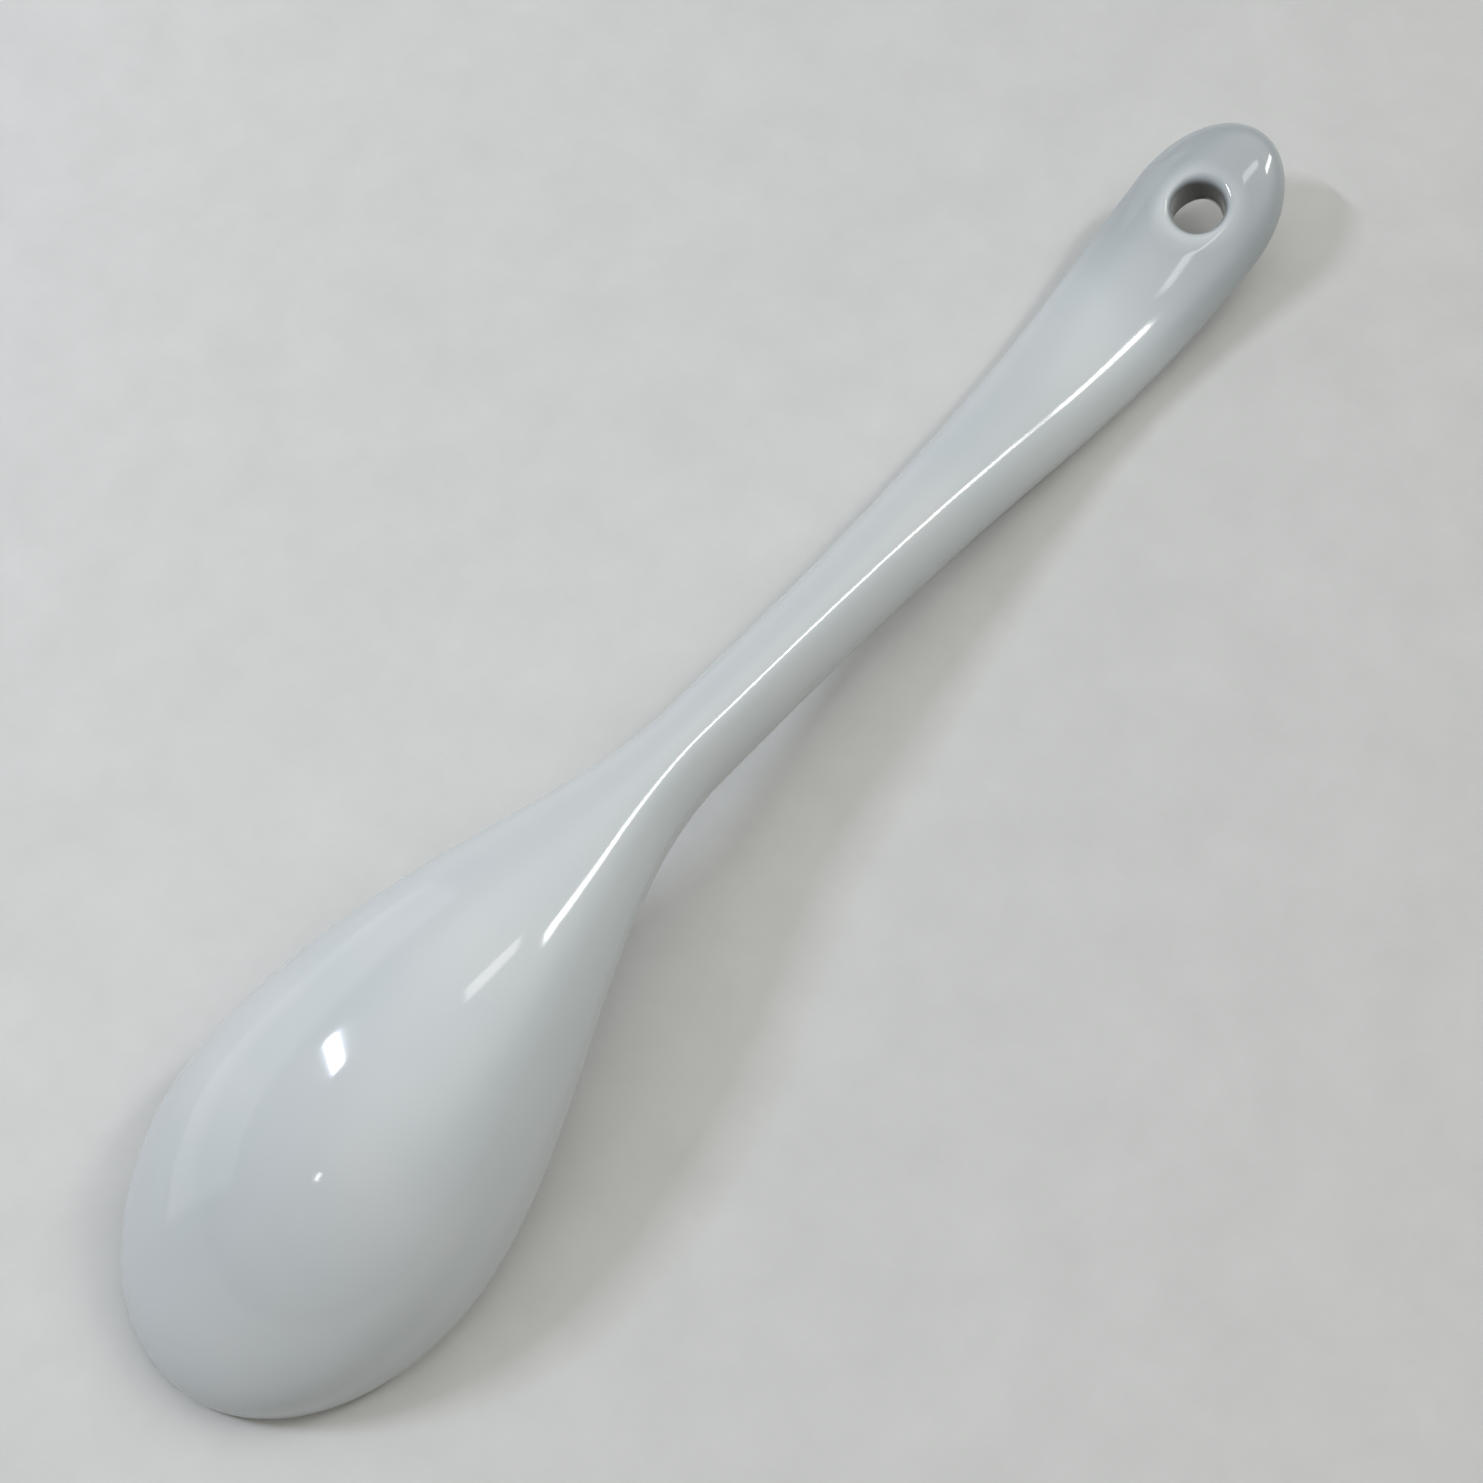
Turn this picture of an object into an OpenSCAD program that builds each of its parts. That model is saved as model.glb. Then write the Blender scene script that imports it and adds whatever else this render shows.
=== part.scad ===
// Chinese soup spoon in glazed porcelain, lying face down on its front lip and its handle.
// X runs from the bowl's front to the handle's end, Z is up and the table is at Z = 0.
// The origin is under the middle of the spoon. All sizes are in millimetres, over the glaze.
// The glaze is wiped off where the spoon stood in the kiln, so the bare body meets the table.

/* [Plan] */
// Length from the bowl's front to the handle's end
overall_length = 180; // [165:1:200]
// Width of the bowl across its lips
bowl_width = 36; // [32:0.5:42]
// Distance from the front to the widest place, the long half axis of the front's ellipse
widest_at = 23.5; // [20:0.5:28]
// Distance from the front to the neck, where the handle is narrowest
neck_at = 78; // [72:0.5:86]
// Width of the neck
neck_width = 8.8; // [7.5:0.1:11]
// Width of the handle at the hanging hole
end_width = 17.2; // [14:0.1:20]
// Distance from the hanging hole to the handle's end, the long half axis of the end's ellipse
end_round = 11; // [9:0.5:14]
// How late the handle flares: 1 is even, more keeps it slim for longer
flare_delay = 1.5; // [1:0.1:2]

/* [Side] */
// Height of the back's guide line above the front of the bowl
nose_height = 11.5; // [9:0.5:14]
// Distance from the front to the guide line's bend over the bowl
belly_at = 32.5; // [28:0.5:40]
// Height of that bend before it is rounded
belly_height = 29.5; // [26:0.5:33]
// Half length of the rounding over the bowl
belly_bend = 25; // [18:1:28]
// Distance from the bend where the handle turns up again to the handle's end
crest_inset = 23.5; // [20:0.5:30]
// Height of that bend before it is rounded
crest_height = 5.7; // [5:0.1:6.4]
// Half length of the rounding where the handle turns up
crest_bend = 21; // [14:1:23]
// Height of the back at the handle's end
tip_height = 16; // [13:0.5:19]
// Thickness of the handle at the neck
neck_thickness = 10; // [8.5:0.1:11.5]
// Thickness of the handle at its end
end_thickness = 7.8; // [6.8:0.1:9]
// Rise of the bowl's lip from the front to the neck
lip_rise = 16.7; // [14:0.1:19]
// Curve of that rise: 1 is a straight line, more keeps the front of the lip flatter
lip_curve = 1.1; // [1:0.05:1.3]

/* [Wall and lip] */
// Fullness of the bowl's back across its width, 2 for an ellipse
bowl_fullness = 2.65; // [2.2:0.05:3]
// Fullness of the handle's back across its width, 2 for an ellipse
handle_fullness = 2.1; // [2:0.05:2.6]
// Thickness of the bowl's wall at the middle
wall = 3; // [2.4:0.1:4]
// Radius of the bowl's rounded lip
lip_radius = 1.4; // [1.2:0.05:1.8]
// Depth of the shallow dish along the handle's face
dish = 0.9; // [0.4:0.1:1.4]
// Thickness of the fired glaze
coat = 0.4; // [0.3:0.05:0.5]
// Height over the table up to which the glaze is wiped off
wiped = 0.2; // [0.1:0.05:0.3]

/* [Hanging hole] */
// Diameter of the hole
hole_d = 6; // [4.5:0.1:6.6]
// Radius of the hole's rounded mouth
mouth_radius = 1.6; // [1.2:0.1:2]
// Radius of the shallow hollow pressed round the mouth
halo_radius = 5.2; // [4.8:0.1:5.8]

/* [Hidden] */

// Share of the handle's thickness that lies under its widest line
under_share = 0.5;
// Share of the handle's half width taken by its rounded edge, and by the flat land beside it
edge_share = 0.42;
land_share = 0.12;
// Least rise of that land, which keeps its faces from vanishing
land_rise = 0.06;
// Slope of the hollow's flank round the hole's mouth
flank = 15;
// How far the hole's cutter reaches past the hollow, and the steps round its mouth
cut_margin = 3;
mouth_steps = 5;
glaze_colour = [0.86, 0.88, 0.89];
porcelain_colour = [0.93, 0.91, 0.87];

// Rows round the front, along the bowl, along the handle and round the end, on one side
front_rows = 9;
bowl_rows = 13;
handle_rows = 13;
end_rows = 7;
// Steps across the back, over the lip's outer and inner quarters, and across the hollow face
back_steps = 10;
lip_steps = 3;
inner_steps = 3;
face_steps = 7;

eye_at = overall_length - end_round;
crest_at = overall_length - crest_inset;

// Smooth step from 0 to 1 that is level at both ends
function ease(u) = let (t = min(max(u, 0), 1)) t * t * (3 - 2 * t);

// Distance past a bend, rounded over a half length of r to each side
function past_bend(d, r) = d < -r ? 0 : d > r ? d : (d + r) * (d + r) / (4 * r);

function mix(a, b, t) = a + (b - a) * t;

function unit(v) = v / norm(v);

// Slope of a line that is given as a function of x, taken over one millimetre
function slope_of(line, x) = line(x + 0.5) - line(x - 0.5);

// 0 on the bowl, 1 on the handle
function handle_part(x) = ease((x - widest_at) / (neck_at - widest_at));

// Half width of the plan between the widest place and the hanging hole
function half_width(x) =
    let (flare = pow(max(0, (x - neck_at) / (eye_at - neck_at)), flare_delay))
    mix(bowl_width, neck_width, handle_part(x)) / 2 + (end_width - neck_width) / 2 * ease(flare);

// The back's guide line: three straight runs with rounded bends over the bowl and the handle
nose_slope = (belly_height - nose_height) / belly_at;
handle_slope = (crest_height - belly_height) / (crest_at - belly_at);
tip_slope = (tip_height - crest_height) / crest_inset;
function back_line(x) =
    nose_height + nose_slope * x
    + (handle_slope - nose_slope) * past_bend(x - belly_at, belly_bend)
    + (tip_slope - handle_slope) * past_bend(x - crest_at, crest_bend);

function handle_thickness(x) =
    mix(neck_thickness, end_thickness, min(max((x - neck_at) / (overall_length - neck_at), 0), 1));

// Height of the widest line: the lip's outside on the bowl, part way up the handle's edge
function shoulder(x) =
    mix(lip_radius + lip_rise * pow(x / neck_at, lip_curve),
        back_line(x) - handle_thickness(x) * (1 - under_share),
        handle_part(x));

// Drop from the widest line to the lowest line of the lip or of the handle's face
function edge_drop(x) = mix(lip_radius, handle_thickness(x) * under_share, handle_part(x));

// Height of the hollow's middle line, or of the dish on the handle's face
function face_line(x) =
    back_line(x) - mix(wall, handle_thickness(x) - dish, handle_part(x));

// Half outline as rows of [x, half width, x of the middle line's point that the row starts from]
half_outline = concat(
    [for (i = [0:front_rows - 1]) let (a = 90 * i / front_rows)
        [widest_at * (1 - cos(a)), bowl_width / 2 * sin(a), widest_at]],
    [for (i = [0:bowl_rows - 1]) let (x = mix(widest_at, neck_at, i / bowl_rows)) [x, half_width(x), x]],
    [for (i = [0:handle_rows]) let (x = mix(neck_at, eye_at, i / handle_rows)) [x, half_width(x), x]],
    [for (i = [1:end_rows]) let (a = 90 * i / end_rows)
        [eye_at + end_round * sin(a), i == end_rows ? 0 : end_width / 2 * cos(a), eye_at]]);
half_rows = len(half_outline);
stations = bowl_rows + handle_rows;

// One section, from the middle of the back, round the lip, to the middle of the hollow face.
// A point is placed by its share s of the way from the middle line out to the outline.
function section(row, side) =
    let (x = row[0], start = row[2],
         reach = norm([x - start, row[1]]),
         h = handle_part(x),
         top = shoulder(x),
         drop = edge_drop(x),
         edge = mix(lip_radius, edge_share * reach, h) / reach,
         land = mix(lip_radius, land_share * reach, h) / reach,
         rise = mix(lip_radius, land_rise, h),
         bend = mix(1 / bowl_fullness, 2, h),
         round_off = 2 / mix(bowl_fullness, handle_fullness, h),
         face_edge = 1 - edge - land,
         at = function (s, z) [mix(start, x, s), side * row[1] * s, z],
         on_x = function (s) mix(start, x, s))
    concat(
        [for (i = [0:back_steps]) let (a = 90 * i / back_steps, s = sin(a))
            at(s, mix(top, back_line(on_x(s)), pow(cos(a), round_off)))],
        [for (i = [1:lip_steps]) let (a = 90 * i / lip_steps)
            at(1 - edge * (1 - cos(a)), top - drop * sin(a))],
        [for (i = [1:inner_steps]) let (a = 90 * i / inner_steps)
            at(1 - edge - land * sin(a), top - drop + rise * (1 - cos(a)))],
        [for (i = [1:face_steps]) let (a = 90 * i / face_steps, s = face_edge * cos(a))
            at(s, mix(top - drop + rise, face_line(on_x(s)), pow(sin(a), 2 * bend)))]);

// All sections in a ring: one side from front to end, then the other side back again
ring_rows = 2 * half_rows - 2;
ring = [for (i = [0:ring_rows - 1])
    i < half_rows ? section(half_outline[i], 1) : section(half_outline[ring_rows - i], -1)];
columns = len(ring[0]);
last = columns - 1;
function side_row(i) = i < half_rows ? i : ring_rows - i;
function station(i) = min(max(side_row(i) - front_rows, 0), stations);
function wrap(i) = (i + ring_rows) % ring_rows;

// Outward direction of the surface at a point of the ring, and on the two middle lines
function ring_normal(i, c) =
    unit(cross(ring[wrap(i + 1)][c] - ring[wrap(i - 1)][c], ring[i][c + 1] - ring[i][c - 1]));
function middle_normal(x, line, up) =
    up * unit([-slope_of(line, x), 0, 1]);

// Numbers of the points: the ring's inner columns first, then the back's and the face's middle lines
ring_points = ring_rows * (columns - 2);
function point_number(i, c) =
    c == 0 ? ring_points + station(i)
    : c == last ? ring_points + stations + 1 + station(i)
    : i * (columns - 2) + c - 1;

function form_points(inset) = concat(
    [for (i = [0:ring_rows - 1], c = [1:last - 1]) ring[i][c] - inset * ring_normal(i, c)],
    [for (k = [0:stations]) let (p = ring[k + front_rows][0])
        p - inset * middle_normal(p.x, function (x) back_line(x), 1)],
    [for (k = [0:stations]) let (p = ring[k + front_rows][last])
        p - inset * middle_normal(p.x, function (x) face_line(x), -1)]);

// Two triangles for each patch, split alike on both sides; one where the rows meet at a point
function patch(i, c) =
    let (j = wrap(i + 1),
         a = point_number(i, c), b = point_number(j, c),
         d = point_number(i, c + 1), e = point_number(j, c + 1))
    a == b ? [[a, d, e]] : d == e ? [[a, d, b]]
    : i < half_rows - 1 ? [[a, e, b], [a, d, e]] : [[a, d, b], [b, d, e]];
form_faces = [for (i = [0:ring_rows - 1], c = [0:last - 1]) each patch(i, c)];

// The spoon's whole form without its hole, drawn in by inset
module form(inset) {
    polyhedron(form_points(inset), form_faces, convexity = 6);
}

// The hanging hole stands square to the handle's middle
eye_thickness = handle_thickness(eye_at);
eye_middle = back_line(eye_at) - eye_thickness / 2;
eye_tilt = atan(slope_of(function (x) back_line(x), eye_at));

// Half of the hole's outline: bore, rounded mouth and the flank of the pressed hollow
mouth_centre = hole_d / 2 + mouth_radius;
mouth_level = eye_thickness / 2 - (halo_radius - mouth_centre) * tan(flank) - mouth_radius / cos(flank);
function hole_side(inset) =
    let (r = mouth_radius - inset, far = halo_radius + cut_margin,
         lift = r / cos(flank) + (far - mouth_centre) * tan(flank))
    concat(
        [for (i = [0:mouth_steps]) let (a = (90 - flank) * i / mouth_steps)
            [mouth_centre - r * cos(a), mouth_level + r * sin(a)]],
        [[far, mouth_level + lift], [0, mouth_level + lift]]);

module hole(inset) {
    side = hole_side(inset);
    other = [for (i = [len(side) - 1:-1:0]) [side[i].x, -side[i].y]];
    translate([eye_at, 0, eye_middle])
        rotate([0, -eye_tilt, 0])
            rotate_extrude($fn = 64)
                polygon(concat(other, side));
}

// Lays the spoon on the table: the tilt comes from the lowest points of the bowl and of the handle
body_points = form_points(coat);
function lowest(points) = points[search(min([for (p = points) p.z]), [for (p = points) p.z])[0]];
bowl_foot = lowest([for (p = body_points) if (p.x < widest_at) p]);
handle_foot = lowest([for (p = body_points) if (p.x > neck_at) p]);
lay_tilt = atan2(handle_foot.z - bowl_foot.z, handle_foot.x - bowl_foot.x);
function laid(p) = [p.x * cos(lay_tilt) + p.z * sin(lay_tilt), p.y, p.z * cos(lay_tilt) - p.x * sin(lay_tilt)];
laid_x = [for (p = form_points(0)) laid(p).x];
laid_z = [for (p = body_points) laid(p).z];
lay_shift = [-(min(laid_x) + max(laid_x)) / 2, 0, -min(laid_z)];

module lay_down() {
    translate(lay_shift) rotate([0, lay_tilt, 0]) children();
}

// The fired body inside the glaze
module body_solid() {
    difference() {
        form(coat);
        hole(coat);
    }
}

module porcelain_body() {
    color(porcelain_colour) lay_down() body_solid();
}

// All that lies lower than the wiped height
module kiln_shelf() {
    depth = 2 * coat;
    translate([-overall_length, -bowl_width, wiped - depth])
        cube([2 * overall_length, 2 * bowl_width, depth]);
}

// The glaze, all over the body and through the hole, apart from the wiped places
module glaze_coat() {
    color(glaze_colour) difference() {
        lay_down() difference() {
            form(0);
            hole(0);
            body_solid();
        }
        kiln_shelf();
    }
}

porcelain_body();
glaze_coat();
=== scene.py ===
"""Chinese soup spoon in glazed porcelain, lying face down on a pale floor.

The sizes and the lines of the form repeat the part's source, in millimetres, with x from the bowl's front.
Each piece is then laid down and turned into metres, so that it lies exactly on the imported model.
"""

import math

import bmesh
import bpy
import numpy as np
from mathutils import Matrix, Vector


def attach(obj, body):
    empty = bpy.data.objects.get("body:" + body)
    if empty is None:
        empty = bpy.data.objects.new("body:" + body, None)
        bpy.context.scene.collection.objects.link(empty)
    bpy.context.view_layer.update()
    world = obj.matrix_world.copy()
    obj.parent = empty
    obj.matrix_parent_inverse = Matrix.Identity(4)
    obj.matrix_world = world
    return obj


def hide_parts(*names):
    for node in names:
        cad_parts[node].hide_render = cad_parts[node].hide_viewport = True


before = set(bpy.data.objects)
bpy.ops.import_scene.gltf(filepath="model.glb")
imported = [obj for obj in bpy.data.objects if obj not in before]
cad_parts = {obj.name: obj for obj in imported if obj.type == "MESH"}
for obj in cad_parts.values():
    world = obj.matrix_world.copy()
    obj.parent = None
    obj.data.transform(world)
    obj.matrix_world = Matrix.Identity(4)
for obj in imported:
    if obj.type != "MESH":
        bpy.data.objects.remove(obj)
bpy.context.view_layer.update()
scene = bpy.context.scene

# Millimetres in a metre
MM = 1000.0

# Sizes of the spoon
LENGTH = 180.0
BOWL_WIDTH = 36.0
WIDEST_AT = 23.5
NECK_AT = 78.0
NECK_WIDTH = 8.8
END_WIDTH = 17.2
END_ROUND = 11.0
FLARE_DELAY = 1.5
NOSE_HEIGHT = 11.5
BELLY_AT = 32.5
BELLY_HEIGHT = 29.5
BELLY_BEND = 25.0
CREST_INSET = 23.5
CREST_HEIGHT = 5.7
CREST_BEND = 21.0
TIP_HEIGHT = 16.0
NECK_THICKNESS = 10.0
END_THICKNESS = 7.8
LIP_RISE = 16.7
LIP_CURVE = 1.1
BOWL_FULLNESS = 2.65
HANDLE_FULLNESS = 2.1
WALL = 3.0
LIP_RADIUS = 1.4
DISH = 0.9
UNDER_SHARE = 0.5
EDGE_SHARE = 0.42
LAND_SHARE = 0.12
LAND_RISE = 0.06
COAT = 0.4
WIPED = 0.2
HOLE_RADIUS = 3.0
MOUTH_RADIUS = 1.6
HALO_RADIUS = 5.2
FLANK = math.radians(15)

EYE_AT = LENGTH - END_ROUND
CREST_AT = LENGTH - CREST_INSET
# The spoon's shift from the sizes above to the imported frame
LAY_SHIFT = np.array([-LENGTH / 2, 0.0, -COAT])

# Steps of the smooth skin along its rows: round the front, along the bowl and the handle, and round the end
FRONT_STEPS = 44
BOWL_STEPS = 76
HANDLE_STEPS = 90
RING_STEPS = 30
END_STEPS = 34
# Steps of the smooth skin across its rows: over the back, round the lip and over the face
BACK_STEPS = 44
LIP_STEPS = 10
FACE_STEPS = 30
# Points of the skin into the hole: down the pressed hollow, round the mouth and along the wall
SLOPE_POINTS = 14
MOUTH_POINTS = 13
WALL_POINTS = 10
# Radius round the hole inside which the skin runs in rings, and how softly the hollow meets the back
RING_RADIUS = 7.2
HOLLOW_BLEND = 0.45
# Rounds of the search for a surface along the hole
LEVEL_ROUNDS = 12
# Metres within which points of the skin are one, and within which a point lies on the wiped level
MERGE_WITHIN = 2e-6
CUT_WITHIN = 1e-7
# Angle over which an edge shows as sharp
SHARP_ANGLE = math.radians(60)

# Depth of the glaze where it lies evenly, its loss on edges (with a painted highlight on the lip), its gain
# in hollows, and the painted shade towards the handle's end
EVEN_DEPTH = 0.5
EDGE_THIN_AND_LIT = 0.3
POOL_GAIN = 0.15
END_SHADE_GAIN = 0.28
# Share of the painted shade at the handle's end that is left off in a paler ring round the hole
HALO_LOSS = 0.8
# Cap on the glaze's depth and painted shade, short of the painted shade in the hole
DEPTH_AND_SHADE_CAP = 0.78
# Bends of the skin, one over metres, over which edges turn paler, from glaze drawn thinly and a painted
# highlight, and over which the glaze pools in hollows
THIN_AND_LIT_FROM, THIN_AND_LIT_TO = 130.0, 380.0
POOL_FROM, POOL_TO = 15.0, 120.0
# Metres along the spoon over which the painted shade darkens towards the handle's end
END_SHADE_FROM, END_SHADE_TO = 0.056, 0.080
# Millimetres from the hole's wall over which the paler ring free of painted shade fades, and over which the
# painted shade inside the hole fades
HALO_FADE = 3.2
HOLE_SHADE_FADE = 0.7


def ease(u):
    t = np.clip(u, 0, 1)
    return t * t * (3 - 2 * t)


def mix(a, b, t):
    return a + (b - a) * t


def past_bend(d, r):
    """0 before a bend, the distance past it after, and a smooth curve over r on both sides."""
    return np.where(d < -r, 0.0, np.where(d > r, d, (d + r) ** 2 / (4 * r)))


def handle_part(x):
    """0 on the bowl, 1 on the handle."""
    return ease((x - WIDEST_AT) / (NECK_AT - WIDEST_AT))


def half_width(x):
    flare = np.clip((x - NECK_AT) / (EYE_AT - NECK_AT), 0, None) ** FLARE_DELAY
    return mix(BOWL_WIDTH, NECK_WIDTH, handle_part(x)) / 2 + (END_WIDTH - NECK_WIDTH) / 2 * ease(flare)


def back_line(x):
    """Height of the back's middle: up the nose, over the belly, down the handle and up at the tip."""
    nose_slope = (BELLY_HEIGHT - NOSE_HEIGHT) / BELLY_AT
    handle_slope = (CREST_HEIGHT - BELLY_HEIGHT) / (CREST_AT - BELLY_AT)
    tip_slope = (TIP_HEIGHT - CREST_HEIGHT) / CREST_INSET
    belly = (handle_slope - nose_slope) * past_bend(x - BELLY_AT, BELLY_BEND)
    crest = (tip_slope - handle_slope) * past_bend(x - CREST_AT, CREST_BEND)
    return NOSE_HEIGHT + nose_slope * x + belly + crest


def handle_thickness(x):
    return mix(NECK_THICKNESS, END_THICKNESS, np.clip((x - NECK_AT) / (LENGTH - NECK_AT), 0, 1))


def shoulder(x):
    """Height of the outline, where the back turns into the edge."""
    lip = LIP_RADIUS + LIP_RISE * (np.clip(x, 0, None) / NECK_AT) ** LIP_CURVE
    return mix(lip, back_line(x) - handle_thickness(x) * (1 - UNDER_SHARE), handle_part(x))


def edge_drop(x):
    return mix(LIP_RADIUS, handle_thickness(x) * UNDER_SHARE, handle_part(x))


def face_line(x):
    return back_line(x) - mix(WALL, handle_thickness(x) - DISH, handle_part(x))


def edge_shares(x, reach):
    """Shares of a row's reach that the rounded edge and the land beside it take, and the land's rise."""
    h = handle_part(x)
    edge = mix(LIP_RADIUS, EDGE_SHARE * reach, h) / reach
    land = mix(LIP_RADIUS, LAND_SHARE * reach, h) / reach
    return edge, land, mix(LIP_RADIUS, LAND_RISE, h)


def row_of(x, y):
    """Share of the way from the middle line to the outline, the outline's x on that row, and its reach."""
    front = x < WIDEST_AT
    end = x > EYE_AT
    centre = np.where(front, WIDEST_AT, np.where(end, EYE_AT, x))
    width = half_width(np.clip(x, WIDEST_AT, EYE_AT))
    long_axis = np.where(front, WIDEST_AT, END_ROUND)
    share = np.where(front | end, np.hypot((x - centre) / long_axis, y / width), np.abs(y) / width)
    safe = np.maximum(share, 1e-9)
    reach = np.where(share > 1e-6, np.hypot(x - centre, y) / safe, width)
    return share, np.clip(centre + (x - centre) / safe, 0, LENGTH), np.maximum(reach, 1e-6)


def back_height(x, y):
    share, row, _ = row_of(x, y)
    fullness = mix(BOWL_FULLNESS, HANDLE_FULLNESS, handle_part(row))
    return mix(shoulder(row), back_line(x), np.clip(1 - share ** 2, 0, 1) ** (1 / fullness))


def under_height(x, y):
    """Height of the whole underside: the rounded edge, the land beside it and the face inside them."""
    share, row, reach = row_of(x, y)
    edge, land, rise = edge_shares(row, reach)
    low = shoulder(row) - edge_drop(row)
    up_edge = np.clip((share - 1 + edge) / edge, 0, 1)
    edge_height = shoulder(row) - edge_drop(row) * np.sqrt(1 - up_edge ** 2)
    up_land = np.clip((1 - edge - share) / land, 0, 1)
    land_height = low + rise * (1 - np.sqrt(1 - up_land ** 2))
    bend = mix(1 / BOWL_FULLNESS, 2, handle_part(row))
    hollow = np.clip(1 - (share / (1 - edge - land)) ** 2, 0, 1) ** bend
    face = mix(low + rise, face_line(x), hollow)
    return np.where(share > 1 - edge, edge_height, np.where(share > 1 - edge - land, land_height, face))


# The hanging hole's own frame: u along the handle, v across it and w along the hole
EYE_THICKNESS = float(handle_thickness(EYE_AT))
EYE_MIDDLE = float(back_line(EYE_AT)) - EYE_THICKNESS / 2
# The tilt is the back line's over one millimetre
EYE_TILT = math.atan(float(back_line(EYE_AT + 0.5) - back_line(EYE_AT - 0.5)))
MOUTH_CENTRE = HOLE_RADIUS + MOUTH_RADIUS
FLANK_DROP = (HALO_RADIUS - MOUTH_CENTRE) * math.tan(FLANK)
MOUTH_LEVEL = EYE_THICKNESS / 2 - FLANK_DROP - MOUTH_RADIUS / math.cos(FLANK)


def from_eye(u, v, w):
    x = EYE_AT + u * math.cos(EYE_TILT) - w * math.sin(EYE_TILT)
    z = EYE_MIDDLE + u * math.sin(EYE_TILT) + w * math.cos(EYE_TILT)
    return x, v, z


def level_at_eye(height, u, v, first):
    """The w at which the line at u, v along the hole meets a surface that is given by its height."""
    w = np.full(np.shape(u), float(first))
    for _ in range(LEVEL_ROUNDS):
        x, y, z = from_eye(u, v, w)
        w = w + (height(x, y) - z) / math.cos(EYE_TILT)
    return w


def hole_profile(radius):
    """Height of the hole's rounded mouth, and of the pressed hollow's flank outside it."""
    lean = np.clip((MOUTH_CENTRE - radius) / MOUTH_RADIUS, math.sin(FLANK), 1)
    arc = MOUTH_LEVEL + MOUTH_RADIUS * np.sqrt(1 - lean ** 2)
    flank = MOUTH_LEVEL + MOUTH_RADIUS / math.cos(FLANK) + (radius - MOUTH_CENTRE) * math.tan(FLANK)
    return np.where(radius < MOUTH_CENTRE - MOUTH_RADIUS * math.sin(FLANK), arc, flank)


def soft_lower(a, b, softness):
    """The lower of two heights, with a smooth turn where they cross."""
    t = np.clip(0.5 + 0.5 * (b - a) / softness, 0, 1)
    return mix(b, a, t) - softness * t * (1 - t)


def skin_rows():
    """Rows on one side: the outline's x and y, the x that the row starts from, and any ring's angle."""
    rows = []
    for i in range(FRONT_STEPS):
        a = math.pi / 2 * i / FRONT_STEPS
        rows.append((WIDEST_AT * (1 - math.cos(a)), BOWL_WIDTH / 2 * math.sin(a), WIDEST_AT, None))
    for x in np.linspace(WIDEST_AT, NECK_AT, BOWL_STEPS, endpoint=False):
        rows.append((x, float(half_width(x)), x, None))
    ring_from = float(from_eye(-RING_RADIUS, 0, EYE_THICKNESS / 2)[0])
    for x in np.linspace(NECK_AT, ring_from, HANDLE_STEPS, endpoint=False):
        rows.append((x, float(half_width(x)), x, None))
    for i in range(RING_STEPS):
        t = i / RING_STEPS
        x = mix(ring_from, EYE_AT, t)
        rows.append((x, float(half_width(x)), x, math.pi * (1 - t / 2)))
    for i in range(END_STEPS + 1):
        t = i / END_STEPS
        a = math.pi / 2 * t
        x, y = EYE_AT + END_ROUND * math.sin(a), END_WIDTH / 2 * math.cos(a)
        rows.append((x, y, EYE_AT, math.pi / 2 * (1 - t)))
    return rows


def ring_points(angle):
    """Points of one ring row in millimetres: over the back, through the hole and out over the face."""
    arc = np.linspace(math.pi / 2 - FLANK, 0, MOUTH_POINTS)[1:]
    mouth = MOUTH_CENTRE - MOUTH_RADIUS * np.cos(arc)
    slope = np.linspace(RING_RADIUS, MOUTH_CENTRE - MOUTH_RADIUS * math.sin(FLANK), SLOPE_POINTS)
    radius = np.concatenate([slope, mouth])
    u, v = radius * math.cos(angle), radius * math.sin(angle)
    softness = HOLLOW_BLEND * np.clip((RING_RADIUS - radius) / (RING_RADIUS - HALO_RADIUS), 0.001, 1)
    profile = hole_profile(radius)
    top = soft_lower(profile, level_at_eye(back_height, u, v, EYE_THICKNESS / 2), softness)
    under = -soft_lower(profile, -level_at_eye(under_height, u, v, -EYE_THICKNESS / 2), softness)
    wall = np.linspace(top[-1], under[-1], WALL_POINTS)[1:-1]
    u = np.concatenate([u, np.full(len(wall), u[-1]), u[::-1]])
    v = np.concatenate([v, np.full(len(wall), v[-1]), v[::-1]])
    return np.stack(from_eye(u, v, np.concatenate([top, wall, under[::-1]])), 1)


def section_points(row, start_back, start_face):
    """Points of one row in millimetres: over the back, round the lip and in over the face."""
    x, y, centre, _ = row
    out = np.array([x, y])
    share = np.sin(np.linspace(0, math.pi / 2, BACK_STEPS + 1))[:, None]
    plan = mix(start_back[None], out[None], share)
    back = np.column_stack([plan, back_height(plan[:, 0], plan[:, 1])])
    back[-1, 2] = shoulder(x)
    edge, land, _ = edge_shares(x, math.hypot(x - centre, y))
    turn = np.linspace(0, math.pi / 2, LIP_STEPS + 1)[1:]
    inward = np.cos(np.linspace(0, math.pi / 2, FACE_STEPS + 1)[1:])
    on_edge = 1 - edge * (1 - np.cos(turn))
    on_land = 1 - edge - land * np.sin(turn)
    share = np.concatenate([on_edge, on_land, (1 - edge - land) * inward])
    plan = mix(start_face[None], out[None], share[:, None])
    under = np.column_stack([plan, under_height(plan[:, 0], plan[:, 1])])
    return np.concatenate([back, under])


def add_grid(mesh, rows):
    """Adds a grid of points, given in millimetres, as faces of the mesh, laid down and in metres."""
    made = [[mesh.verts.new((p + LAY_SHIFT) / MM) for p in row] for row in rows]
    for first, second in zip(made, made[1:]):
        for k in range(len(first) - 1):
            mesh.faces.new((first[k], first[k + 1], second[k + 1], second[k]))


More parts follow.
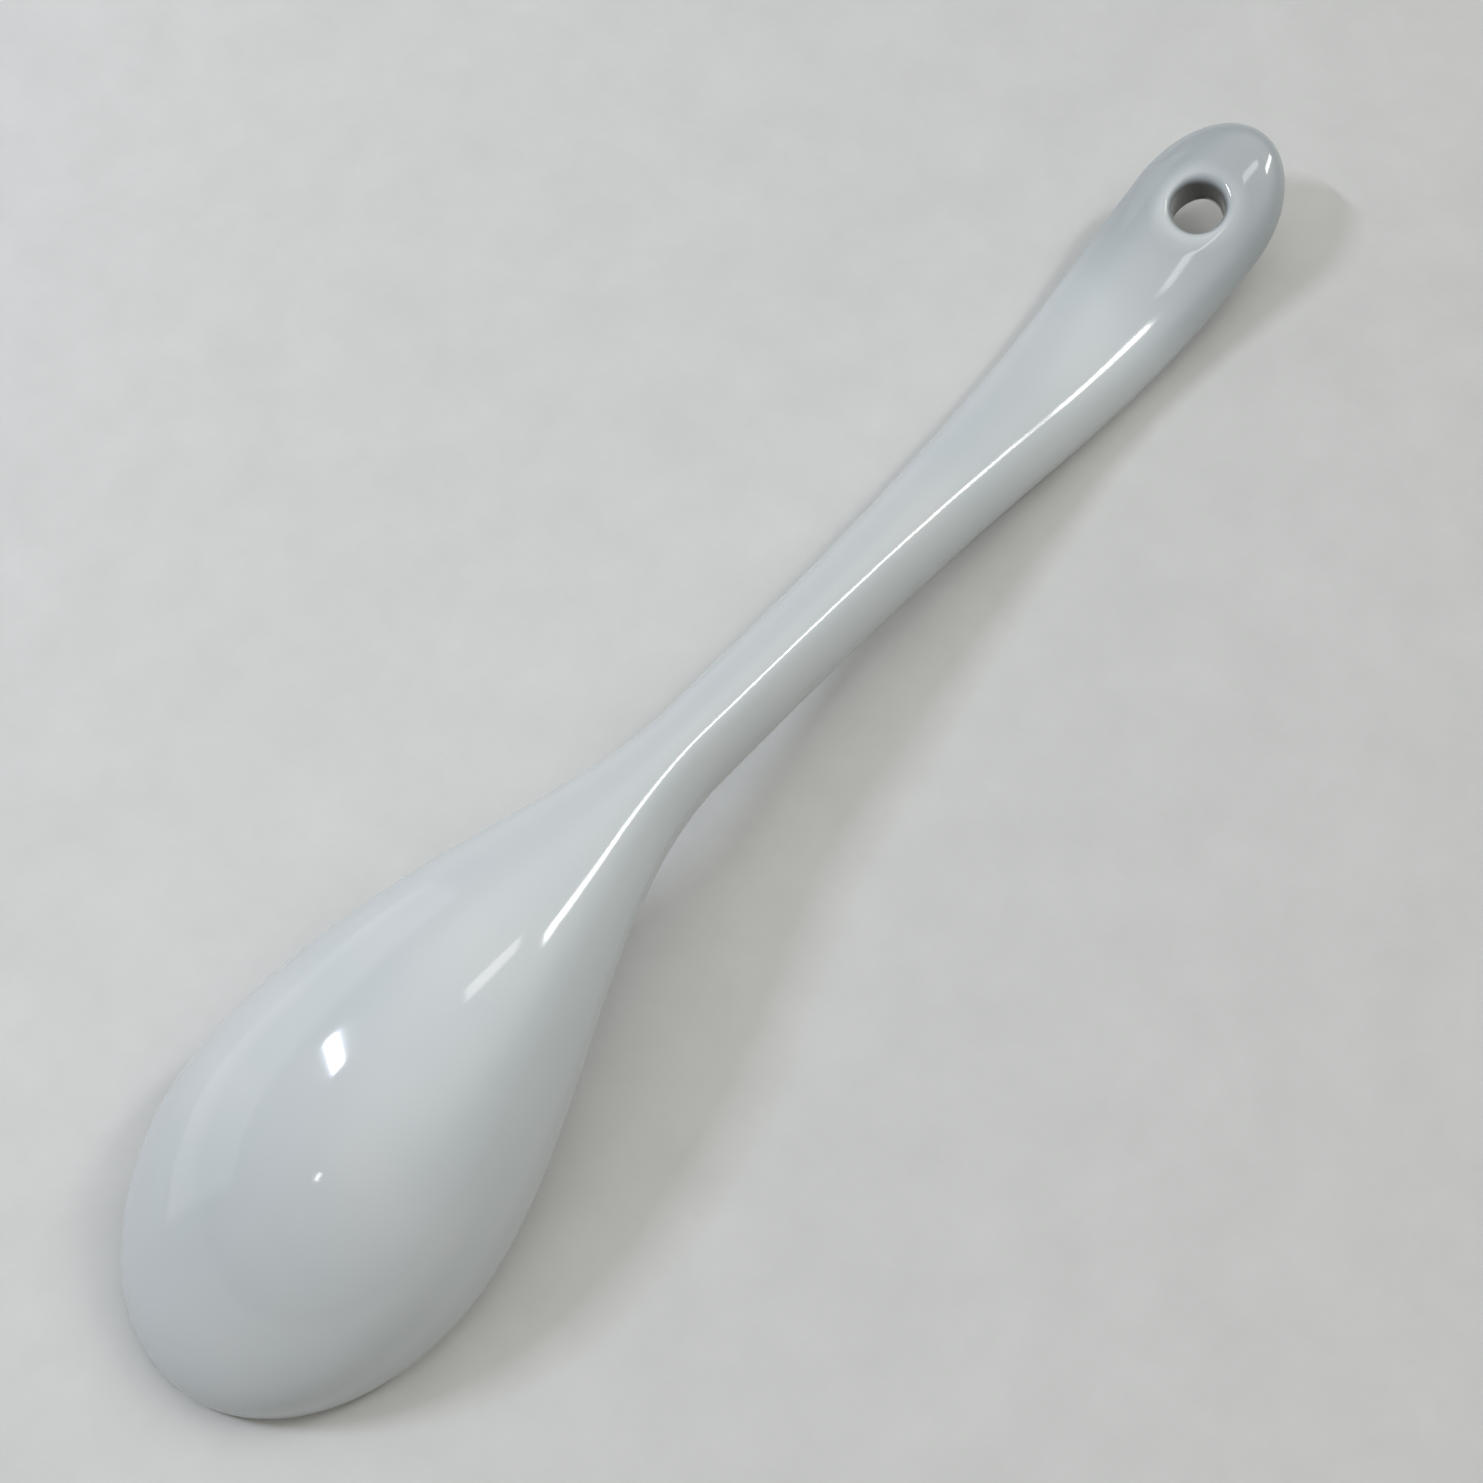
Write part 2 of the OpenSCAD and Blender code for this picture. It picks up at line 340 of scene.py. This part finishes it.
def spoon_skin():
    """The whole outer skin of the glaze, closed, with its hole."""
    sections, rings = [], []
    for row in skin_rows():
        _, _, centre, angle = row
        start_back = start_face = np.array([centre, 0.0])
        if angle is not None:
            ring = ring_points(angle)
            rings.append(ring)
            start_back, start_face = ring[0, :2], ring[-1, :2]
        sections.append(section_points(row, start_back, start_face))
    mesh = bmesh.new()
    for side in (1, -1):
        for grid in (sections, rings):
            add_grid(mesh, [row * np.array([1, side, 1]) for row in grid])
    bmesh.ops.remove_doubles(mesh, verts=mesh.verts, dist=MERGE_WITHIN)
    bmesh.ops.recalc_face_normals(mesh, faces=mesh.faces)
    mesh.normal_update()
    return mesh


def as_piece(mesh, name):
    """Turns a mesh in the making into a smooth object in the scene."""
    data = bpy.data.meshes.new(name)
    mesh.to_mesh(data)
    mesh.free()
    data.polygons.foreach_set("use_smooth", np.ones(len(data.polygons), bool))
    data.set_sharp_from_angle(angle=SHARP_ANGLE)
    piece = bpy.data.objects.new(name, data)
    scene.collection.objects.link(piece)
    return piece


def make_body(skin):
    """The fired body: the skin drawn in by the glaze's thickness, resting on the floor."""
    mesh = skin.copy()
    mesh.normal_update()
    for vert, normal in [(v, v.normal.copy()) for v in mesh.verts]:
        vert.co -= normal * COAT / MM
        vert.co.z = max(vert.co.z, 0.0)
    return as_piece(mesh, "porcelain_body_fired")


def glaze_depth_and_painted_shade(data):
    """How deep the glaze lies at each vertex, with painted light and shade: lowest on sharp edges, where
    the glaze lies thinly and a highlight is painted on the lip, 0.5 even, higher where it pools and with
    painted shade towards the handle's end, and 1 for painted shade in the hole.
    """
    count = len(data.vertices)
    place, normal = np.empty(count * 3), np.empty(count * 3)
    data.vertices.foreach_get("co", place)
    data.vertex_normals.foreach_get("vector", normal)
    place, normal = place.reshape(-1, 3), normal.reshape(-1, 3)
    ends = np.empty(len(data.edges) * 2, int)
    data.edges.foreach_get("vertices", ends)
    first, second = ends.reshape(-1, 2).T
    step = place[second] - place[first]
    bend = ((normal[second] - normal[first]) * step).sum(1) / np.maximum((step ** 2).sum(1), 1e-12)
    total, times = np.zeros(count), np.zeros(count)
    for end in (first, second):
        np.add.at(total, end, bend)
        np.add.at(times, end, 1)
    bend = total / np.maximum(times, 1)
    # Paler edges: glaze drawn thinly there, and a painted highlight along the lip
    thin_and_lit_edge = ease((bend - THIN_AND_LIT_FROM) / (THIN_AND_LIT_TO - THIN_AND_LIT_FROM))
    pooled = ease((-bend - POOL_FROM) / (POOL_TO - POOL_FROM))
    # Painted shade that darkens the handle's end
    end_shade = ease((place[:, 0] - END_SHADE_FROM) / (END_SHADE_TO - END_SHADE_FROM))
    x, y, z = (place * MM - LAY_SHIFT).T
    along = (x - EYE_AT) * math.cos(EYE_TILT) + (z - EYE_MIDDLE) * math.sin(EYE_TILT)
    from_hole = np.hypot(along, y) - HOLE_RADIUS
    # A ring round the hole is left mostly free of that painted shade, so it shows paler
    halo = 1 - ease(from_hole / HALO_FADE)
    # Painted shade inside the hole
    hole_shade = 1 - ease(from_hole / HOLE_SHADE_FADE)
    depth_and_shade = EVEN_DEPTH - EDGE_THIN_AND_LIT * thin_and_lit_edge * (1 - end_shade) + POOL_GAIN * pooled
    depth_and_shade = depth_and_shade + END_SHADE_GAIN * end_shade * (1 - HALO_LOSS * halo)
    return mix(np.clip(depth_and_shade, 0, DEPTH_AND_SHADE_CAP), 1.0, hole_shade)


def make_glaze(skin):
    """The glaze: the skin, wiped off just over the floor, with the coat's thickness at the wiped edge."""
    mesh = skin.copy()
    wiped_level = WIPED / MM
    everything = list(mesh.verts) + list(mesh.edges) + list(mesh.faces)
    bmesh.ops.bisect_plane(mesh, geom=everything, dist=CUT_WITHIN, plane_co=(0, 0, wiped_level),
                           plane_no=(0, 0, 1), clear_inner=True)
    mesh.normal_update()
    rim = [e for e in mesh.edges if e.is_boundary]
    inward = {v: v.normal.copy() for e in rim for v in e.verts}
    made = bmesh.ops.extrude_edge_only(mesh, edges=rim)["geom"]
    for vert in [g for g in made if isinstance(g, bmesh.types.BMVert)]:
        source = next(e.other_vert(vert) for e in vert.link_edges if e.other_vert(vert) in inward)
        vert.co -= inward[source] * COAT / MM
        vert.co.z = wiped_level
    bmesh.ops.recalc_face_normals(mesh, faces=mesh.faces)
    piece = as_piece(mesh, "glaze_coat_fired")
    depth_and_shade = piece.data.attributes.new("glaze_depth_and_painted_shade", "FLOAT", "POINT")
    depth_and_shade.data.foreach_set("value", glaze_depth_and_painted_shade(piece.data))
    return piece


def linear(code):
    """A colour written as sRGB hex, turned to linear for Blender."""
    parts = [int(code[i:i + 2], 16) / 255 for i in (0, 2, 4)]
    return [c / 12.92 if c <= 0.04045 else ((c + 0.055) / 1.055) ** 2.4 for c in parts] + [1.0]


def per_mm(size):
    """Texture scale for a pattern of that size in millimetres, over coordinates in metres."""
    return MM / size


def add(tree, kind, links=None, inputs=None, **settings):
    """Adds a node with its settings, its constant inputs and its links from other nodes' outputs."""
    node = tree.nodes.new(kind)
    for name, value in settings.items():
        setattr(node, name, value)
    for name, value in (inputs or {}).items():
        node.inputs[name].default_value = value
    for name, source in (links or {}).items():
        tree.links.new(source, node.inputs[name])
    return node


def new_material(name):
    material = bpy.data.materials.new(name)
    material.use_nodes = True
    tree = material.node_tree
    tree.nodes.clear()
    return material, tree


def glazed_porcelain():
    """Clear glaze fired over white porcelain: a hard, wet gloss on a soft cool white.

    It is pale and warm on the edges, where the glaze is drawn thinly and a painted highlight runs
    along the lip, greyer towards the handle's end with painted shade, dark brown-grey inside the
    hole with painted shade, and has a few pinholes.
    """
    material, tree = new_material("glazed_porcelain_dipped")
    place = add(tree, "ShaderNodeTexCoord").outputs["Object"]
    depth_and_shade = add(tree, "ShaderNodeAttribute", attribute_name="glaze_depth_and_painted_shade").outputs["Fac"]
    # The dip's slow unevenness, about 20 mm across
    drift = add(tree, "ShaderNodeTexNoise", {"Vector": place},
                {"Scale": per_mm(20), "Detail": 2.0}).outputs["Fac"]
    uneven = add(tree, "ShaderNodeMapRange", {"Value": drift},
                 {"From Min": 0.3, "From Max": 0.7, "To Min": -0.07, "To Max": 0.07}).outputs["Result"]
    lie = add(tree, "ShaderNodeMath", {0: depth_and_shade, 1: uneven}, operation="ADD").outputs["Value"]
    tone = add(tree, "ShaderNodeValToRGB", {"Fac": lie})
    ramp = tone.color_ramp
    # Palest for glaze drawn thinly on the edges, with a painted highlight on the lip; the grey at 0.86
    # carries painted shade towards the handle's end, and the dark brown-grey at 1 is painted shade inside
    # the hole
    ramp.elements[0].color = linear("D2D2CC")
    ramp.elements[1].color = linear("75726B")
    ramp.elements.new(0.42).color = linear("C7CBCB")
    ramp.elements.new(0.58).color = linear("BFC6C8")
    ramp.elements.new(0.86).color = linear("9AA1A4")
    # Pinholes about 14 mm apart, real ones 0.1 mm wide and drawn at 0.3 mm so that they show
    spots = add(tree, "ShaderNodeTexVoronoi", {"Vector": place}, {"Scale": per_mm(14)}).outputs["Distance"]
    pits = add(tree, "ShaderNodeMapRange", {"Value": spots},
               {"From Min": 0.004, "From Max": 0.012}).outputs["Result"]
    # Ripple of the glaze, about 7 mm from crest to crest
    ripple = add(tree, "ShaderNodeTexNoise", {"Vector": place},
                 {"Scale": per_mm(7), "Detail": 1.0}).outputs["Fac"]
    pitted = add(tree, "ShaderNodeBump", {"Height": pits}, {"Strength": 0.7, "Distance": 0.00008})
    relief = add(tree, "ShaderNodeBump", {"Height": ripple, "Normal": pitted.outputs["Normal"]},
                 {"Strength": 1.0, "Distance": 0.00003})
    gloss = add(tree, "ShaderNodeMapRange", {"Value": drift},
                {"From Min": 0.3, "From Max": 0.7, "To Min": 0.05, "To Max": 0.1}).outputs["Result"]
    surface = {"Base Color": tone.outputs["Color"], "Normal": relief.outputs["Normal"], "Roughness": gloss}
    shader = add(tree, "ShaderNodeBsdfPrincipled", surface, {"IOR": 1.52})
    add(tree, "ShaderNodeOutputMaterial", {"Surface": shader.outputs["BSDF"]})
    return material


def fired_porcelain():
    """Bare porcelain where the glaze was wiped off for the kiln: matt, warm white and finely gritty."""
    material, tree = new_material("porcelain_unglazed_fired")
    place = add(tree, "ShaderNodeTexCoord").outputs["Object"]
    # Grit of about 0.15 mm, drawn at 0.4 mm so that it shows
    grit = add(tree, "ShaderNodeTexNoise", {"Vector": place},
               {"Scale": per_mm(0.4), "Detail": 3.0}).outputs["Fac"]
    tone = add(tree, "ShaderNodeValToRGB", {"Fac": grit})
    tone.color_ramp.elements[0].color = linear("D8D2C6")
    tone.color_ramp.elements[1].color = linear("EAE6DC")
    relief = add(tree, "ShaderNodeBump", {"Height": grit}, {"Strength": 0.6, "Distance": 0.00003})
    surface = {"Base Color": tone.outputs["Color"], "Normal": relief.outputs["Normal"]}
    shader = add(tree, "ShaderNodeBsdfPrincipled", surface, {"Roughness": 0.75, "IOR": 1.5})
    add(tree, "ShaderNodeOutputMaterial", {"Surface": shader.outputs["BSDF"]})
    return material


def pale_floor():
    """Plain matt paper-white board under the spoon, with the faint clouding of handled card."""
    material, tree = new_material("floor_matt_board")
    place = add(tree, "ShaderNodeTexCoord").outputs["Object"]
    # Clouding about 9 mm across
    clouds = add(tree, "ShaderNodeTexNoise", {"Vector": place},
                 {"Scale": per_mm(9), "Detail": 6.0, "Roughness": 0.65}).outputs["Fac"]
    tone = add(tree, "ShaderNodeValToRGB", {"Fac": clouds})
    tone.color_ramp.elements[0].position = 0.3
    tone.color_ramp.elements[0].color = linear("C5C6C4")
    tone.color_ramp.elements[1].position = 0.7
    tone.color_ramp.elements[1].color = linear("CBCCCA")
    # Paler far off, so that low views have a pale background too
    far = add(tree, "ShaderNodeVectorMath", {0: place}, operation="LENGTH").outputs["Value"]
    fade = add(tree, "ShaderNodeMapRange", {"Value": far}, {"From Min": PALE_FROM, "From Max": PALE_TO})
    # The mixer's colours are its inputs 6 and 7 and its output 2
    board = add(tree, "ShaderNodeMix", {0: fade.outputs["Result"], 6: tone.outputs["Color"]},
                {7: linear("F8F8F6")}, data_type="RGBA")
    shader = add(tree, "ShaderNodeBsdfPrincipled", {"Base Color": board.outputs[2]},
                 {"Roughness": 0.9, "Specular IOR Level": 0.2})
    add(tree, "ShaderNodeOutputMaterial", {"Surface": shader.outputs["BSDF"]})
    return material


# The camera looks down over the bowl's side, at the photograph's angle
CAMERA_AZIMUTH = math.radians(-50.637)
CAMERA_ELEVATION = math.radians(66.0)
CAMERA_DISTANCE = 0.245653
CAMERA_TARGET = Vector((-0.003458, 0.000825, 0.0))
CAMERA_ANGLE = math.radians(36.0)
# The floor's inner rings, its flat reach, the sweep at its end and the wall's height, in metres
FLOOR_RINGS = (0.2, 0.6, 1.5, 3.0)
FLOOR_REACH = 6.5
SWEEP = 1.5
WALL_HEIGHT = 1.7
# Steps round the floor, and points up its sweep
FLOOR_STEPS = 64
SWEEP_POINTS = 9
# Metres from the spoon over which the floor turns paler
PALE_FROM, PALE_TO = 2.5, 7.0
# Each lamp's two ends and its width in metres, its power in watts and its colour
LAMPS = (
    ("tube_lamp", (1.42, -1.15, 3.0), (3.65, -1.32, 3.0), 0.32, 40.0, "FFFFFF"),
    ("ceiling_lamp", (0.25, -0.05, 3.0), (1.05, -0.36, 3.0), 0.28, 3.2, "FFFFFF"),
    ("desk_lamp", (-0.163, 0.323, 0.40), (-0.187, 0.197, 0.40), 0.02, 1.0, "E8EFFF"),
    ("window", (-2.8, 2.0, 0.72), (0.7, 2.0, 0.72), 1.5, 11.5, "F6F9FF"),
    ("spot_lamp", (-1.80, 0.22, 2.4), (-2.00, 0.22, 2.4), 0.08, 0.7, "FFFFFF"),
)
# Where the soft glow overhead comes from, the cosine of the angle at which it ends, and its strength
GLOW = Vector((0.26, -0.05, 1.0)).normalized()
GLOW_END = 0.6
GLOW_STRENGTH = 1.48


def make_camera():
    flat = math.cos(CAMERA_ELEVATION)
    back = Vector((math.sin(CAMERA_AZIMUTH) * flat, -math.cos(CAMERA_AZIMUTH) * flat,
                   math.sin(CAMERA_ELEVATION)))
    data = bpy.data.cameras.new("camera")
    data.sensor_fit = "HORIZONTAL"
    data.angle = CAMERA_ANGLE
    data.clip_start = 0.01
    camera = bpy.data.objects.new("camera", data)
    camera.location = CAMERA_TARGET + back * CAMERA_DISTANCE
    camera.rotation_euler = back.to_track_quat("Z", "Y").to_euler()
    scene.collection.objects.link(camera)
    scene.camera = camera


def long_lamp(name, first, second, width, power, colour):
    """A long lamp between two places in metres, turned to face the spoon."""
    a, b = Vector(first), Vector(second)
    middle = (a + b) / 2
    along = (b - a).normalized()
    facing = (middle - along * middle.dot(along)).normalized()
    data = bpy.data.lights.new(name, "AREA")
    data.shape = "RECTANGLE"
    data.size = (b - a).length
    data.size_y = width
    data.energy = power
    data.color = linear(colour)[:3]
    lamp = bpy.data.objects.new(name, data)
    lamp.location = middle
    lamp.visible_camera = False
    lamp.rotation_euler = Matrix((along, facing.cross(along), facing)).transposed().to_euler()
    scene.collection.objects.link(lamp)


def make_light():
    """A tube, a lamp and a spot on the ceiling, a desk lamp, a low window and a soft glow overhead.

    The near side is left dim, as it is behind a camera.
    """
    for lamp in LAMPS:
        long_lamp(*lamp)
    world = bpy.data.worlds.new("studio")
    scene.world = world
    world.use_nodes = True
    tree = world.node_tree
    tree.nodes.clear()
    place = add(tree, "ShaderNodeTexCoord").outputs["Generated"]
    lean = add(tree, "ShaderNodeVectorMath", {0: place}, {1: GLOW}, operation="DOT_PRODUCT")
    level = add(tree, "ShaderNodeMapRange", {"Value": lean.outputs["Value"]},
                {"From Min": GLOW_END, "From Max": 1.0}, interpolation_type="SMOOTHERSTEP")
    tone = add(tree, "ShaderNodeValToRGB", {"Fac": level.outputs["Result"]})
    tone.color_ramp.elements[0].color = linear("262420")
    tone.color_ramp.elements[1].color = linear("FFFDF8")
    back = add(tree, "ShaderNodeBackground", {"Color": tone.outputs["Color"]}, {"Strength": GLOW_STRENGTH})
    add(tree, "ShaderNodeOutputWorld", {"Surface": back.outputs["Background"]})


def make_floor():
    """A round floor that turns up into a low wall far off, so that every view has a plain background."""
    turn = np.linspace(0, math.pi / 2, SWEEP_POINTS)
    wall_at = FLOOR_REACH + SWEEP
    reach = np.concatenate([FLOOR_RINGS, FLOOR_REACH + SWEEP * np.sin(turn), [wall_at]])
    level = np.concatenate([np.zeros(len(FLOOR_RINGS)), SWEEP * (1 - np.cos(turn)), [WALL_HEIGHT]])
    angles = np.linspace(0, 2 * math.pi, FLOOR_STEPS, endpoint=False)
    mesh = bmesh.new()
    rings = []
    for r, z in zip(reach, level):
        rings.append([mesh.verts.new((r * math.cos(a), r * math.sin(a), z)) for a in angles])
    mesh.faces.new(rings[0])
    for inner, outer in zip(rings, rings[1:]):
        for k in range(FLOOR_STEPS):
            mesh.faces.new((inner[k - 1], outer[k - 1], outer[k], inner[k]))
    floor = as_piece(mesh, "floor")
    floor.data.materials.append(pale_floor())


make_camera()
skin = spoon_skin()
body = make_body(skin)
glaze = make_glaze(skin)
skin.free()
body.data.materials.append(fired_porcelain())
glaze.data.materials.append(glazed_porcelain())
for piece, node, slot in ((body, "porcelain_body", "porcelain"), (glaze, "glaze_coat", "glaze")):
    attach(piece, "root")
    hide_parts(node)
make_floor()
make_light()
scene.view_settings.view_transform = "Standard"
